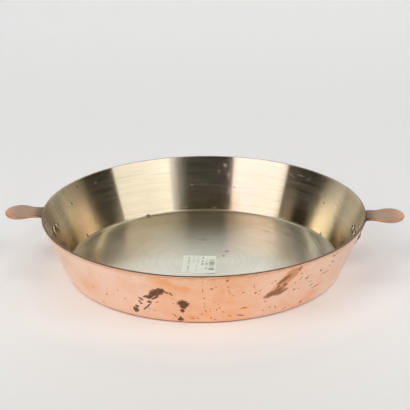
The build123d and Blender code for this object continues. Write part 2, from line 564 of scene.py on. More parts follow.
def copper_stains(finish, flat_place, fine, crumb):
    """How far each kind of stain covers the copper, from the darkest patches to the faintest clouds."""
    ragged = fine - 0.5
    crumbly = ragged * 0.9 + (crumb - 0.5) * 0.8
    frayed = ragged * 0.5
    shaken = finish.shaken(flat_place, fine, 2.0)
    dark = finish.blots(shaken, on_wall(DARK_PATCHES), 0.0, 0.3, crumbly)
    brown = finish.blots(shaken, on_wall(BROWN_PATCHES), -0.05, 0.5, crumbly)
    pale = finish.blots(shaken, on_wall(PALE_PATCHES), -0.15, 0.5, frayed)
    speck = finish.blots(finish.shaken(flat_place, fine, 0.6), on_wall(SPECKS), -0.05, 0.5, frayed)
    orange = finish.blots(shaken, on_wall(ORANGE_CLOUDS), -0.6, 0.8, frayed)
    faint = finish.blots(shaken, on_wall(FAINT_CLOUDS), -0.7, 1.0, frayed)
    return dark, brown, pale, speck, orange, faint


def strewn_flecks(finish, flat_place, height, ragged):
    """Small flecks strewn over the wall, one to a cell and each of its own size."""
    cells = finish.node("ShaderNodeTexVoronoi", None, {"Vector": flat_place, "Scale": 0.11})
    size = finish.parts(cells["Color"])[0] * 0.11
    fleck = finish.ease(cells["Distance"] + ragged * 0.08, size - 0.02, size - 0.06)
    return fleck * finish.ease(height, 1.5, 3.0)


def stained_copper(colours):
    """Polished copper with brown stains, orange heat tints, fine scratches and a dark rim line, with
    painted light on its left front, a painted warm reflection over its front, painted shade along the front
    of the rim and painted warm light at its foot.
    """
    finish = Finish("Stained copper")
    ease = finish.ease
    angle, radius, height = finish.round_the_axis()
    flat_place = finish.unrolled(angle, height)
    fine = finish.noise(finish.place, 0.42, 4, 0.62)
    soft = finish.noise(finish.place, 0.035, 3, 0.55)
    crumb = finish.noise(finish.place, 0.95, 2, 0.6)
    brushed = finish.noise(finish.brushed_place(3.2, 2.0), 1.0, 2, 0.6)
    scratch = finish.noise(finish.brushed_place(0.9, 14.0), 1.0, 3, 0.7)
    ragged = fine - 0.5

    dark, brown, pale, speck, orange, faint = copper_stains(finish, flat_place, fine, crumb)
    fleck = strewn_flecks(finish, flat_place, height, ragged)
    # Painted reflection of the warm floor in front, over the front of the copper
    warm = finish.blots(flat_place, on_wall(WARM_REFLECTION_FRONT), 0.0, 0.7)
    mottle = ease(fine * 0.5 + crumb * 0.5, 0.40, 0.62)
    blotch = ease(finish.noise(finish.place, 0.12, 3, 0.6), 0.40, 0.66)
    # Painted light on the copper's left front: the darker tints there are weakened
    painted_light_left = 1 - finish.between(angle, -14, -34, -80, -110) * 0.8
    streak = ease(scratch + ragged * 0.3, 0.42, 0.62) * ease(height, 51.0, 55.5)
    rim_line = ease(height, 56.35, 56.75)
    # Painted shade along the rim's outer edge at the front
    front_rim_painted_shade = rim_line * ease(abs(angle), 102, 80)
    # Painted warm light at the foot of the wall: a warm, less metallic band over the dark contact line
    # there
    foot_painted_light = ease(height, 2.4, 0.6) * ease(radius, 130.0, 133.0)

    colour = finish.mix(COVER, ease(soft, 0.42, 0.68) * 0.35, colours.copper, colours.copper_orange)
    colour = finish.layered(colour, (
        (TINT, warm, (0.97, 0.86, 0.73)),
        (TINT, finish.largest([orange * 0.9, faint * 0.45]), (0.98, 0.75, 0.50)),
        (TINT, blotch * painted_light_left * 0.6, (0.97, 0.88, 0.80)),
        (TINT, mottle * painted_light_left * 0.3, (0.94, 0.87, 0.83)),
        (TINT, pale, (0.74, 0.55, 0.41)),
        (TINT, brushed * painted_light_left * 0.16, (0.72, 0.62, 0.56)),
        (COVER, ease(height, 52.8, 55.4) * 0.40 + ragged * 0.1, (0.80, 0.38, 0.17)),
        (COVER, streak * 0.5, (0.50, 0.22, 0.08)),
        (COVER, ease(scratch, 0.70, 0.78) * 0.25, (0.55, 0.30, 0.20)),
        (COVER, fleck * 0.5, (0.30, 0.15, 0.08)),
        (COVER, speck * 0.9, (0.36, 0.095, 0.028)),
        (COVER, brown * 0.88, finish.mix(COVER, mottle, (0.22, 0.08, 0.022), (0.44, 0.18, 0.07))),
        (COVER, dark * 0.95, finish.mix(COVER, mottle, colours.stain, (0.22, 0.09, 0.035))),
        (COVER, rim_line * 0.85, (0.20, 0.11, 0.065)),
        (COVER, front_rim_painted_shade * 0.7, (0.06, 0.028, 0.014)),
        (COVER, foot_painted_light * 0.5, (0.80, 0.36, 0.22)),
    ))
    marks = finish.largest([dark, brown * 0.8, speck * 0.8, fleck])
    relief = finish.bump(brushed, 0.00002, 0.5)
    return finish.surface({
        "Base Color": colour,
        "Metallic": 1 - finish.largest([marks * 0.8, foot_painted_light * 0.6, front_rim_painted_shade * 0.8]),
        "Roughness": 0.24 + brushed * 0.10 + marks * 0.3,
        "Specular IOR Level": 0.2,
        "Normal": finish.bump(soft, 0.0006, 0.35, relief),
    })


# Marks on the lining's wall, and painted shade round the rivets, given as the copper's stains are

WALL_MARKS = (
    (-112.0, 40.0, 2.2, 1.1, 70),
    (-119.0, 51.5, 2.2, 1.1, 80),
    (-129.0, 48.5, 1.0, 0.8, 0),
    (-114.0, 5.0, 2.6, 1.4, 60),
    (-150.5, 2.8, 3.2, 1.5, 0),
    (169.5, 26.5, 1.0, 0.6, 0),
    (145.0, 47.5, 5.0, 0.9, 20),
    (137.0, 48.5, 1.2, 2.4, 0),
    (124.5, 32.5, 1.8, 1.0, 60),
    (111.5, 50.0, 1.8, 1.0, 60),
    (114.5, 26.5, 2.0, 1.2, 60),
    (109.5, 34.0, 2.6, 0.9, 70),
    (119.5, 4.5, 2.8, 1.5, 60),
    # Painted shade round the four rivets
    (87.0, 34.5, 7.6, 7.0, 0),
    (92.5, 34.5, 7.6, 7.0, 0),
    (-87.0, 34.5, 7.6, 7.0, 0),
    (-92.5, 34.5, 7.6, 7.0, 0),
)

# Smudges on the pan's floor: a place in mm, half length and half width in mm, and turn in degrees

FLOOR_SMUDGES = (
    (22.0, 25.0, 4.0, 4.0, -10),
    (19.0, 13.0, 2.2, 3.5, 0),
    (-3.0, 54.0, 6.0, 3.0, -5),
    (62.0, 78.0, 6.0, 2.2, -30),
    (84.0, 70.0, 5.0, 2.4, -42),
)

# Light scratches and bare spots on the lining's wall, as the marks are given

LIGHT_SCRATCHES = (
    (-172.0, 28.5, 1.5, 1.5, 0),
    (-177.0, 29.0, 7.0, 0.3, 0),
    (177.0, 28.5, 6.0, 0.3, 0),
    (145.0, 48.0, 2.0, 1.6, 10),
    (141.0, 49.5, 9.5, 0.5, 4),
    (136.0, 49.5, 1.6, 2.0, 0),
    (-129.0, 48.5, 1.4, 1.4, 0),
    (174.0, 48.0, 2.6, 5.0, 10),
    (172.5, 38.0, 3.0, 5.0, 0),
    (176.5, 42.0, 1.8, 3.0, 20),
    (172.0, 22.0, 2.2, 6.0, 0),
    (-169.0, 6.0, 3.0, 1.2, 0),
    (178.0, 5.0, 4.0, 1.0, 0),
    (172.0, 6.0, 3.0, 1.6, 20),
)

# A wide patch of painted shade at the foot of the lining's wall
PAINTED_SHADE_FOOT = ((136.0, 6.0, 25.0, 24.0, 0),)


def floor_tones_and_painted_shade(finish, floor, aside, sideways, ahead):
    """Layers of the pan's floor: paler towards the front, painted shade at the rear and towards both sides,
    and warmer and darker towards the left.
    """
    ease = finish.ease
    # Painted shade on the floor towards the right and the left
    right = finish.between(sideways, 58, 86, 96, 112) * ease(ahead, 84, 34)
    left = finish.between(sideways, -88, -110, -114, -126) * ease(ahead, 40, 5)
    return (
        (COVER, ease(ahead, 30, -100) * floor * 0.7, (0.86, 0.85, 0.80)),
        # Painted shade at the rear of the floor, by the wall
        (TINT, (1 - aside) * ease(ahead, 62, 108) * floor, (0.86, 0.82, 0.72)),
        (TINT, right * floor, (0.74, 0.69, 0.62)),
        (TINT, left * floor, (0.64, 0.60, 0.56)),
        (TINT, ease(sideways, -30, -100) * floor, (0.90, 0.81, 0.70)),
    )


def wall_painted_light_and_shade(finish, wall, angle, height, dull, shade):
    """Layers of the lining's wall, all painted light and shade: painted warm, golden, rosy and dull brown
    reflections, a painted highlight, and painted shade at its foot, beside the rivets and at the front of
    its rim.
    """
    ease = finish.ease
    between = finish.between
    either_side = abs(angle)
    return (
        # Painted golden reflection on the left of the wall
        (TINT, between(angle, -98, -110, -122, -138) * wall * 0.7, (0.78, 0.70, 0.54)),
        # Painted shade low on the front and sides of the wall
        (TINT, ease(height, 32, 8) * ease(either_side, 136, 124) * wall * 0.6, (0.78, 0.74, 0.66)),
        # Painted shade at the foot of the wall, right of the rear
        (TINT, shade * wall, (0.38, 0.35, 0.28)),
        # Painted warm reflection low on the front half of the wall
        (TINT, ease(either_side, 114, 100) * ease(height, 36, 14) * wall * 0.9, (0.81, 0.71, 0.51)),
        # Painted rosy reflection on the rear wall, right of its middle
        (TINT, between(angle, 142, 154, 172, 178) * wall, (1.0, 0.89, 0.96)),
        # Painted golden highlight on the right of the rear wall
        (COVER, between(angle, 106, 116, 126, 134) * wall * 0.38, (0.90, 0.80, 0.62)),
        # Painted dull brown reflections at both ends of the wall
        (COVER, dull, (0.78, 0.65, 0.43)),
        # Painted shade beside the rivets
        (TINT, between(either_side, 76, 88, 92, 99) * wall, (0.74, 0.66, 0.56)),
        # Painted shade at the foot of the rear wall
        (TINT, ease(either_side, 164, 172) * ease(height, 28, 8) * wall, (0.82, 0.77, 0.64)),
        # Painted shade along the front of the rim
        (TINT, ease(height, 56.3, 56.8) * ease(either_side, 102, 80), (0.36, 0.27, 0.19)),
    )


def brushed_steel(colours):
    """Steel brushed in circles, with painted reflections and shade over its floor and wall, scratches,
    smudges, dark marks and painted shade round the rivets.
    """
    finish = Finish("Brushed steel lining")
    ease = finish.ease
    angle, radius, height = finish.round_the_axis()
    sideways, ahead, _ = finish.parts(finish.place)
    flat_place = finish.unrolled(angle, height)
    fine = finish.noise(finish.brushed_place(4.0, 1.5), 1.0, 3, 0.6)
    line = ease(finish.noise(finish.brushed_place(0.7, 2.0), 1.0, 4, 0.75), 0.42, 0.66)
    arc = ease(finish.noise(finish.brushed_place(0.45, 0.8), 1.0, 3, 0.6), 0.40, 0.68)
    cloud = finish.noise(finish.place, 0.02, 3, 0.55)
    grain = finish.noise(finish.place, 0.5, 3, 0.6)

    wall = ease(radius, 133.0, 136.5)
    floor = 1 - wall
    # Painted shade in the inner corner: darker, rougher and less metallic where the wall meets the floor
    corner = ease(height, 4.2, 3.3) * ease(radius, 133.8, 135.2)
    aside = ease(abs(sideways), 60, 100)
    # Painted reflection: a dull brown, less metallic patch at each end of the wall, for the brown
    # reflections there
    right_end_painted_reflection = finish.between(angle, 64, 84, 106, 124)
    left_end_painted_reflection = finish.between(angle, -64, -84, -102, -120)
    dull = (right_end_painted_reflection * 0.66 + left_end_painted_reflection * 0.38) * ease(height, 8, 34) * (cloud + 0.5)
    shade = finish.blots(flat_place, on_wall(PAINTED_SHADE_FOOT), 0.0, 0.8)
    shaken = finish.shaken(flat_place, grain, 1.2)
    mark_and_rivet_shade = finish.blots(shaken, on_wall(WALL_MARKS), 0.0, 0.5) * ease(radius, 128.0, 131.0)
    scratch = finish.blots(shaken, on_wall(LIGHT_SCRATCHES), 0.0, 0.8, (grain - 0.5) * 2.0) * wall
    smudge = finish.blots(finish.shaken(finish.place, grain, 1.2), FLOOR_SMUDGES, 0.0, 0.9) * floor

    colour = finish.mix(COVER, wall, colours.steel_floor, colours.steel)
    colour = finish.layered(colour, (
        (TINT, ease(cloud, 0.35, 0.7) * 0.25, (0.93, 0.90, 0.80)),
        (TINT, fine * 0.30, (0.70, 0.68, 0.62)),
        (TINT, line * 0.18, (0.80, 0.78, 0.66)),
        (TINT, arc * floor * 0.5, (0.82, 0.80, 0.76)),
        *floor_tones_and_painted_shade(finish, floor, aside, sideways, ahead),
        (COVER, scratch * 0.5, (0.90, 0.86, 0.70)),
        # Painted shade in the inner corner
        (TINT, corner * 0.2, (0.72, 0.66, 0.52)),
        *wall_painted_light_and_shade(finish, wall, angle, height, dull, shade),
        (TINT, smudge, (0.42, 0.38, 0.37)),
        (COVER, mark_and_rivet_shade * 0.8, (0.12, 0.09, 0.045)),
    ))
    uneven = fine * 0.04 + line * wall * 0.03 + aside * floor * 0.08
    return finish.surface({
        "Base Color": colour,
        "Metallic": 1 - line * 0.10 * wall - corner * 0.13 - dull - scratch * 0.24,
        "Roughness": 0.15 + uneven + corner * 0.15 + mark_and_rivet_shade * 0.3,
        "Anisotropic": 1.0,
        "Anisotropic Rotation": 0.25,
    })


def worn_handle_copper(colours):
    """Handle copper gone rosy brown and brighter orange towards the tip, with painted shade at the neck, a
    painted highlight along the top of its edges and painted shade below that.
    """
    finish = Finish("Worn handle copper")
    ease = finish.ease
    x, _, z = finish.parts(finish.place)
    beyond_rim = abs(x) - RIM_RADIUS
    below_top = HANDLE_BOX[1].z / MM - z
    fine = finish.noise(finish.place, 0.6, 4, 0.6)
    cloud = finish.noise(finish.place, 0.07, 3, 0.6)
    ear = ease(below_top, 8, 3)
    outside = ease(beyond_rim, 1, 6)
    # Painted highlight along the top of the handle's edge
    rubbed = finish.between(below_top, 0.2, 1.0, 1.6, 2.1) * outside
    # Painted shade below it, on the lower edge
    under = finish.between(below_top, 1.6, 2.2, 2.8, 3.4) * outside
    colour = finish.layered(colours.handle, (
        (COVER, ease(beyond_rim + cloud * 12, 30, 44) * 0.75, colours.handle_edge_and_highlight),
        # Painted shade over the ear's neck, darkest and most olive next to the wall
        (TINT, ease(beyond_rim + cloud * 10, 22, 3) * ear * 0.85, (0.68, 0.72, 0.58)),
        (TINT, ease(beyond_rim + cloud * 6, 14, 5) * ear * 0.9, (0.42, 0.42, 0.25)),
        (TINT, ease(fine, 0.35, 0.75) * 0.5, (0.70, 0.64, 0.60)),
        (COVER, ease(fine, 0.66, 0.74) * 0.5, (0.12, 0.07, 0.045)),
        # Painted highlight, then painted shade, along the edge
        (COVER, rubbed * 0.7, colours.handle_edge_and_highlight),
        (COVER, under * 0.75, (0.16, 0.07, 0.035)),
    ))
    return finish.surface({
        "Base Color": colour,
        "Metallic": 0.9,
        "Roughness": 0.32 + fine * 0.16,
        "Normal": finish.bump(fine, 0.00008, 0.4),
    })


def rivet_steel(colours, pan, rivets):
    """Steel of the rivets, dull and dark, with painted shade where the heads meet the wall and the tongues.
    """
    finish = Finish("Rivet steel")
    _, radius, height = finish.round_the_axis()
    fine = finish.noise(finish.place, 1.4, 3, 0.6)
    base = pan.base_radius / MM
    lean = math.atan2(RIM_RADIUS - base, pan.height / MM)
    inset = (base + height * math.tan(lean) - radius) * math.cos(lean)
    inner_seat = (pan.copper + pan.lining) / MM
    outer_seat = -rivets.plate / MM
    from_middle = abs(inset - (inner_seat + outer_seat) / 2)
    above_seat = from_middle - (inner_seat - outer_seat) / 2
    # Painted shade round the foot of each head, where it meets the wall or the tongue
    foot = finish.ease(above_seat, 1.3, 0.5)
    colour = finish.layered(colours.rivet, (
        (TINT, finish.ease(fine, 0.35, 0.75) * 0.6, (0.62, 0.58, 0.46)),
        (COVER, foot * 0.9, (0.035, 0.025, 0.012)),
    ))
    return finish.surface({
        "Base Color": colour,
        "Metallic": 1 - foot * 0.5,
        "Roughness": 0.12 + fine * 0.10,
        "Normal": finish.bump(fine, 0.00008, 0.4),
    })


# Rows of dashes on the label: left, right, near and far edge in mm from its corner, pitch and strength

PRINT_ROWS = (
    (18.6, 21.2, 19.5, 24.0, 0.9, 0.75),
    (18.6, 21.2, 27.0, 31.0, 0.9, 0.75),
    (18.6, 21.2, 34.5, 40.0, 0.9, 0.65),
    (23.0, 25.2, 8.0, 14.5, 0.7, 0.6),
    (23.0, 25.2, 19.0, 27.0, 0.7, 0.7),
    (23.0, 25.2, 29.0, 34.0, 0.7, 0.35),
    (13.6, 15.6, 4.0, 22.0, 0.5, 0.22),
    (14.0, 16.4, 25.0, 41.0, 0.8, 0.35),
    (9.8, 11.8, 26.0, 41.5, 0.8, 0.35),
    (5.2, 7.0, 2.0, 41.5, 1.0, 0.5),
    (2.6, 3.8, 38.0, 40.0, 0.6, 0.35),
)


def label_paper(colours):
    """Coated paper with a block of bars and rows of dashes where print would be."""
    finish = Finish("Label paper")
    across, along, _ = finish.parts(finish.vector("SUBTRACT", finish.place, LABEL_BOX[0] / MM))
    fibre = finish.noise(finish.place, 1.2, 3, 0.6)
    soft = 0.3

    def window(value, low, high):
        return finish.between(value, low - soft, low + soft, high - soft, high + soft)

    def bars(pitch, seed, share):
        steps_along = finish.math("FLOOR", along / pitch) + seed
        drawn = finish.node("ShaderNodeTexWhiteNoise", {"noise_dimensions": "1D"}, {"W": steps_along})
        return finish.ease(drawn, share, share + 0.02)

    bar_block = window(across, 26.6, 31.8) * window(along, 7.0, 33.0)
    prints = [bar_block * bars(0.8, 3.0, 0.36) * 0.85]
    for number, (left, right, near, far, pitch, strength) in enumerate(PRINT_ROWS):
        row = window(across, left, right) * window(along, near, far)
        prints.append(row * bars(pitch, 11.0 + number, 0.3) * strength)
    colour = finish.layered(colours.paper, (
        (TINT, fibre * 0.2, (0.86, 0.86, 0.80)),
        (COVER, finish.largest(prints), colours.ink),
    ))
    return finish.surface({
        "Base Color": colour,
        "Roughness": 0.5 + fibre * 0.1,
        "Normal": finish.bump(fibre, 0.00002, 0.3),
    })


def studio_paper(settings):
    """Plain pale paper of the floor and the backdrop, paler towards the backdrop, with painted light beside
    the pan that lifts its shadow, painted warm light from the copper in front of it, and painted shade far
    in front.
    """
    finish = Finish("Studio paper")
    ease = finish.ease
    sideways, ahead, _ = finish.parts(finish.metres)
    mottle = finish.noise(finish.metres, 3.0, 2, 0.5)
    from_axis = finish.distance(sideways, ahead)
    from_left_rear = finish.distance(sideways + 0.012, ahead - 0.03)
    # Painted light: a ring round the pan, reaching a little further at its left rear, where the paper is
    # paler to lift the pan's shadow
    painted_light_ring = finish.largest([ease(from_axis, 0.23, 0.16), ease(from_left_rear, 0.235, 0.165)])
    # Paler paper at the sides and warm paper at the front, painted light from the lamps and from the copper
    beside = finish.mix(COVER, ease(ahead, -0.06, -0.13), (1.0, 0.985, 0.965), (0.95, 0.89, 0.85))
    colour = finish.layered(settings.paper, (
        (TINT, mottle * 0.06, (0.9, 0.9, 0.9)),
        # Painted shade: the paper darker far in front
        (TINT, ease(ahead, -0.12, -0.34), (0.88, 0.87, 0.85)),
        # Painted warm light from the copper on the paper in front of the pan
        (TINT, ease(from_axis, 0.36, 0.18) * ease(ahead, 0.02, -0.10), (0.99, 0.96, 0.93)),
        (COVER, painted_light_ring, beside),
        (COVER, ease(ahead, 0.3, 1.1), (0.96, 0.96, 0.955)),
    ))
    return finish.surface({"Base Color": colour, "Roughness": 0.9, "Specular IOR Level": 0.1})


# Profiles, in metres: x is the distance from the axis that the profile turns about, and z the height

def rounded_line(points, radii, steps, hold):
    """A polyline with its inner corners rounded, and a point just outside each end of a round."""
    corners = [Vector((x, 0, z)) for x, z in points]
    line = [corners[0]]
    for before, corner, after, radius in zip(corners, corners[1:], corners[2:], radii):
        back = (before - corner).normalized()
        ahead = (after - corner).normalized()
        half_angle = back.angle(ahead) / 2
        reach = radius / math.tan(half_angle) if radius else 0
        start = corner + back * reach
        end = corner + ahead * reach
        line.append(start + back * hold)
        if radius:
            centre = corner + (back + ahead).normalized() * (radius / math.sin(half_angle))
            first = start - centre
            sweep = first.angle(end - centre)
            axis = first.cross(end - centre)
            turns = [Matrix.Rotation(sweep * step / steps, 3, axis) for step in range(steps + 1)]
            line += [centre + turned @ first for turned in turns]
        else:
            line.append(corner)
        line.append(end + ahead * hold)
    line.append(corners[-1])
    return line


def divided(line, gap):
    """A line with points added, so that no run is longer than a gap."""
    points = [line[0]]
    for last, point in zip(line, line[1:]):
        count = max(1, math.ceil((point - last).length / gap))
        points += [last.lerp(point, step / count) for step in range(1, count + 1)]
    return points


class PanShape:
    """Where the pan's wall runs, worked out from its sizes."""

    round_steps = 8
    widest_hold = 0.0006

    def __init__(self, sizes):
        self.sizes = sizes
        self.spread = sizes.rim_radius - sizes.base_radius
        self.lean = math.atan2(self.spread, sizes.height)
        self.thickness = sizes.copper + sizes.lining

    def wall_radius(self, level, inset=0.0):
        """Radius of the wall at a level, inset from its outer face."""
        outer = self.sizes.base_radius + self.spread * level / self.sizes.height
        return outer - inset / math.cos(self.lean)

    def layer_profile(self, outer_inset, inner_inset, outer_round, inner_round):
        """Profile of one layer, from the axis out to the rim and back to the axis."""
        height = self.sizes.height
        bend = self.sizes.corner + self.thickness
        points = [
            (0, outer_inset),
            (self.wall_radius(outer_inset, outer_inset), outer_inset),
            (self.wall_radius(height, outer_inset), height),
            (self.wall_radius(height, inner_inset), height),
            (self.wall_radius(inner_inset, inner_inset), inner_inset),
            (0, inner_inset),
        ]
        radii = [bend - outer_inset, outer_round, inner_round, bend - inner_inset]
        hold = min(self.widest_hold, (inner_inset - outer_inset) / 6)
        return divided(rounded_line(points, radii, self.round_steps, hold), self.sizes.row_gap)


# Objects and their meshes

def new_object(name, data):
    """A new object in the scene that holds some data."""
    made = bpy.data.objects.new(name, data)
    bpy.context.scene.collection.objects.link(made)
    return made


def line_object(name, points):
    """An object that holds a profile as a chain of edges."""
    mesh = bpy.data.meshes.new(name)
    mesh.from_pydata(points, [(i, i + 1) for i in range(len(points) - 1)], [])
    return new_object(name, mesh)


def fill_closed_mesh(mesh, work):
    """Fills a mesh from a bmesh, with its faces outwards and smooth. An open one is an error."""
    bmesh.ops.recalc_face_normals(work, faces=work.faces)
    open_edges = sum(not edge.is_manifold for edge in work.edges)
    work.to_mesh(mesh)
    work.free()
    if open_edges or not mesh.polygons:
        raise RuntimeError(f"{mesh.name} is not a closed mesh: {open_edges} open edges")
    mesh.shade_smooth()
    mesh.set_sharp_from_angle(angle=SHARP_ANGLE)


def settle(piece, slot, *nodes):
    """Lets a finished piece ride on the pan, in the place of the named CAD nodes."""
    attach(piece, ROOT)
    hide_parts(*nodes)


# Geometry Nodes

def new_geometry_tree(name, inputs):
    """A geometry tree with a named input for each given name and socket type, and those inputs."""
    tree = bpy.data.node_groups.new(name, "GeometryNodeTree")
    for label, kind in inputs.items():
        tree.interface.new_socket(label, in_out="INPUT", socket_type=f"NodeSocket{kind}")
    tree.interface.new_socket("Geometry", in_out="OUTPUT", socket_type="NodeSocketGeometry")
    nodes = Tree(tree)
    return nodes, nodes.node("NodeGroupInput")


def end_geometry_tree(nodes, geometry, material):
    """Ends a geometry tree in real geometry of one material."""
    plain = nodes.node("GeometryNodeRealizeInstances", None, {"Geometry": geometry})
    dressed = nodes.node("GeometryNodeSetMaterial", None, {"Geometry": plain, "Material": material})
    nodes.node("NodeGroupOutput", None, {"Geometry": dressed})
    return nodes.tree


def spin_tree():
    """Turns a profile about the Z axis into a closed mesh."""
    inputs = {"Profile": "Geometry", "Segments": "Int", "Material": "Material"}
    nodes, given = new_geometry_tree("Spin a profile", inputs)
    profile, segments = given["Profile"], given["Segments"]
    size = nodes.node("GeometryNodeAttributeDomainSize", {"component": "MESH"}, {"Geometry": profile})
    rows = size["Point Count"]
    grid = nodes.node("GeometryNodeMeshGrid", None, {"Vertices X": segments + 1, "Vertices Y": rows})
    index = nodes.node("GeometryNodeInputIndex")
    column = nodes.math("FLOOR", index / rows)
    row = index - column * rows
    position = nodes.node("GeometryNodeInputPosition")
    point = nodes.node(
        "GeometryNodeSampleIndex",
        {"data_type": "FLOAT_VECTOR", "domain": "POINT"},
        {"Geometry": profile, "Value": position, "Index": row},
    )
    turned = nodes.turned(point, column * (2 * math.pi) / segments)
    spun = nodes.node("GeometryNodeSetPosition", None, {"Geometry": grid, "Position": turned})
    closed = nodes.node("GeometryNodeMergeByDistance", None, {"Geometry": spun, "Distance": 0.000001})
    smooth = nodes.node("GeometryNodeSetShadeSmooth", None, {"Geometry": closed, "Shade Smooth": True})
    return end_geometry_tree(nodes, smooth, given["Material"])


def rivet_tree(spin):
    """Spins a rivet's profile and sets a pair of rivets square on the wall at each handle."""
    floats = ("Wall radius", "Level", "Half turn", "Lean")
    inputs = {"Profile": "Geometry", "Segments": "Int", "Rivets": "Int", "Material": "Material"}
    nodes, given = new_geometry_tree("Rivet both handles", inputs | dict.fromkeys(floats, "Float"))
    index = nodes.node("GeometryNodeInputIndex")
    handle = nodes.math("FLOOR", index / 2)
    row = index - handle * 2
    angle = handle * math.pi + (row * 2 - 1) * given["Half turn"]
    radius = given["Wall radius"]
    x = nodes.math("COSINE", angle) * radius
    y = nodes.math("SINE", angle) * radius
    place = nodes.joined(x, y, given["Level"])
    euler = nodes.joined(0.0, given["Lean"] + math.pi / 2, angle)
    facing = nodes.node("FunctionNodeEulerToRotation", None, {"Euler": euler})
    profile = {name: given[name] for name in ("Profile", "Segments", "Material")}
    rivet = nodes.node("GeometryNodeGroup", {"node_tree": spin}, profile)
    points = nodes.node("GeometryNodePoints", None, {"Count": given["Rivets"], "Position": place})
    instances = {"Points": points, "Instance": rivet, "Rotation": facing}
    placed = nodes.node("GeometryNodeInstanceOnPoints", None, instances)
    return end_geometry_tree(nodes, placed, given["Material"])


def grow(piece, tree, values):
    """Runs a tree on a piece's mesh and leaves the result as the piece's own plain mesh."""
    modifier = piece.modifiers.new(tree.name, "NODES")
    modifier.node_group = tree
    for item in tree.interface.items_tree:
        if item.item_type == "SOCKET" and item.in_out == "INPUT" and item.name in values:
            modifier[item.identifier] = values[item.name]
    depsgraph = bpy.context.evaluated_depsgraph_get()
    mesh = bpy.data.meshes.new_from_object(piece.evaluated_get(depsgraph), depsgraph=depsgraph)
    piece.modifiers.remove(modifier)
    piece.data = mesh
    work = bmesh.new()
    work.from_mesh(mesh)
    fill_closed_mesh(mesh, work)


# Operators

class PAN_OT_layers(bpy.types.Operator):
    """Spin the copper shell and its steel lining from their profiles"""

    bl_idname = "tatin_pan.layers"
    bl_label = "Spin Copper and Lining"

    def execute(self, context):
        sizes = context.scene.tatin_pan
        colours = context.scene.tatin_colours
        shape = PanShape(sizes)
        copper = shape.layer_profile(0, sizes.copper, sizes.rim_round, 0)
        lining = shape.layer_profile(sizes.copper, shape.thickness, 0, sizes.lining_round)
        spin = spin_tree()
        for name, profile, material, slot, node in (
            ("copper_body", copper, stained_copper(colours), "copper", "copper_shell"),
            ("lining", lining, brushed_steel(colours), "lining_steel", "steel_lining"),
        ):
            piece = line_object(name, profile)
            grow(piece, spin, {"Segments": sizes.segments, "Material": material})
            settle(piece, slot, node)
        return {"FINISHED"}


class PAN_OT_rivets(bpy.types.Operator):
    """Set the four steel rivets through the handles, the copper and the lining"""

    bl_idname = "tatin_pan.rivets"
    bl_label = "Set Rivets"

    def execute(self, context):
        sizes = context.scene.tatin_rivets
        shape = PanShape(context.scene.tatin_pan)
        names = [f"rivet_{side}_{row}" for side in ("left", "right") for row in ("front", "rear")]
        radius = shape.wall_radius(sizes.level)
        piece = line_object("rivets", self.profile(sizes, shape.thickness))
        values = {
            "Segments": sizes.segments,
            "Rivets": len(names),
            "Wall radius": radius,
            "Level": sizes.level,
            "Half turn": math.asin(sizes.spacing / 2 / radius),
            "Lean": shape.lean,
            "Material": rivet_steel(context.scene.tatin_colours, shape.sizes, sizes),
        }
        grow(piece, rivet_tree(spin_tree()), values)
        settle(piece, "rivet_steel", *names)
        return {"FINISHED"}

    def profile(self, sizes, wall_thickness):
        """A rivet's profile about its axis, with z outwards from the wall's outer face."""
        sunk = 0.0002
        dome_share = 0.7
        head_top = -wall_thickness - sizes.head_height
        head_foot = -wall_thickness + sunk
        tail_foot = sizes.plate - sunk
        tail_top = sizes.plate + sizes.tail_height
        points = (
            (0, head_top),
            (sizes.head_radius, head_top),
            (sizes.head_radius, head_foot),
            (sizes.shank_radius, head_foot),
            (sizes.shank_radius, tail_foot),
            (sizes.tail_radius, tail_foot),
            (sizes.tail_radius, tail_top),
            (0, tail_top),
        )
        radii = (dome_share * sizes.head_height, 0, 0, 0, 0, dome_share * sizes.tail_height)
        return rounded_line(points, radii, steps=8, hold=0.00004)


class PAN_OT_handles(bpy.types.Operator):
    """Give the two ear handles their worn copper"""

    bl_idname = "tatin_pan.handles"
    bl_label = "Finish Handles"

    def execute(self, context):
        material = worn_handle_copper(context.scene.tatin_colours)
        for side in ("left", "right"):
            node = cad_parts[f"handle_{side}"]
            node.data.materials.clear()
            node.data.materials.append(material)
        return {"FINISHED"}


class PAN_OT_label(bpy.types.Operator):
    """Lay the paper label on the pan's floor, with one loose corner"""

    bl_idname = "tatin_pan.label"
    bl_label = "Lay Label"

    def execute(self, context):
        sizes = context.scene.tatin_label
        centre = (LABEL_BOX[0] + LABEL_BOX[1]) / 2
        half = Vector((sizes.width / 2, sizes.depth / 2))
        loose_corner = Vector((half.x, -half.y))
        mesh_step = 0.0005
        columns = round(sizes.width / mesh_step)
        rows = round(sizes.depth / mesh_step)
        work = bmesh.new()
        bmesh.ops.create_grid(work, x_segments=columns, y_segments=rows, size=1)
        for vertex in work.verts:
            place = Vector((vertex.co.x * half.x, vertex.co.y * half.y))
            flat = self.inside_corner(place, half, sizes.corner)
            lift = max(0.0, 1 - (flat - loose_corner).length / sizes.lift_reach) ** 2 * sizes.lift
            vertex.co = (centre.x + flat.x, centre.y + flat.y, LABEL_BOX[0].z + lift)
        top = bmesh.ops.extrude_face_region(work, geom=work.faces[:])["geom"]
        for element in top:
            if isinstance(element, bmesh.types.BMVert):
                element.co.z += sizes.thickness
        mesh = bpy.data.meshes.new("label")
        fill_closed_mesh(mesh, work)
        mesh.materials.append(label_paper(context.scene.tatin_colours))
        settle(new_object("label", mesh), "label_paper", "paper_label")
        return {"FINISHED"}

    def inside_corner(self, flat, half, radius):
        """A place on a rectangle, moved onto the round of its corner where it lies beyond it."""
        inner = Vector((
            max(-half.x + radius, min(half.x - radius, flat.x)),
            max(-half.y + radius, min(half.y - radius, flat.y)),
        ))
        away = flat - inner
        beyond = away.x and away.y and away.length > radius
        return inner + away.normalized() * radius if beyond else flat


